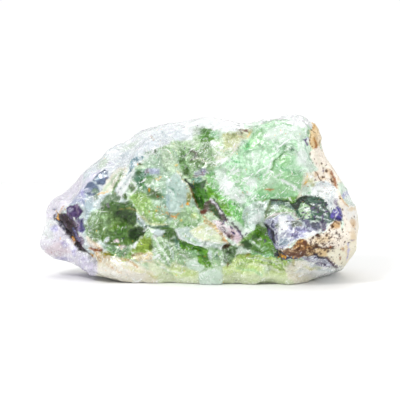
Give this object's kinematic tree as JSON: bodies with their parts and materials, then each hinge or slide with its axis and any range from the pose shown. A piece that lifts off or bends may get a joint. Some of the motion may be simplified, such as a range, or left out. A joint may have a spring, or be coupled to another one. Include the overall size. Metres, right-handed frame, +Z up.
{
  "type": "rough alexandrite crystal",
  "caption": "Rough broken lump of banded green gemstone with a pointed left end, a rounded knob on its front and a brown porous rind at its right end.",
  "frame": {"origin": "on the flat cleavage face that the stone rests on, under the middle of its length", "axes": "+X along its length towards the brown rind, -Y out of the face with the knob, +Z up"},
  "size_m": [0.0602, 0.0276, 0.0303],
  "materials": {
    "stone": "glassy, translucent, banded green, white, grey and purple, with a matt brown rind"
  },
  "bodies": {
    "root": {"rough_stone": "stone"}
  },
  "joints": []
}
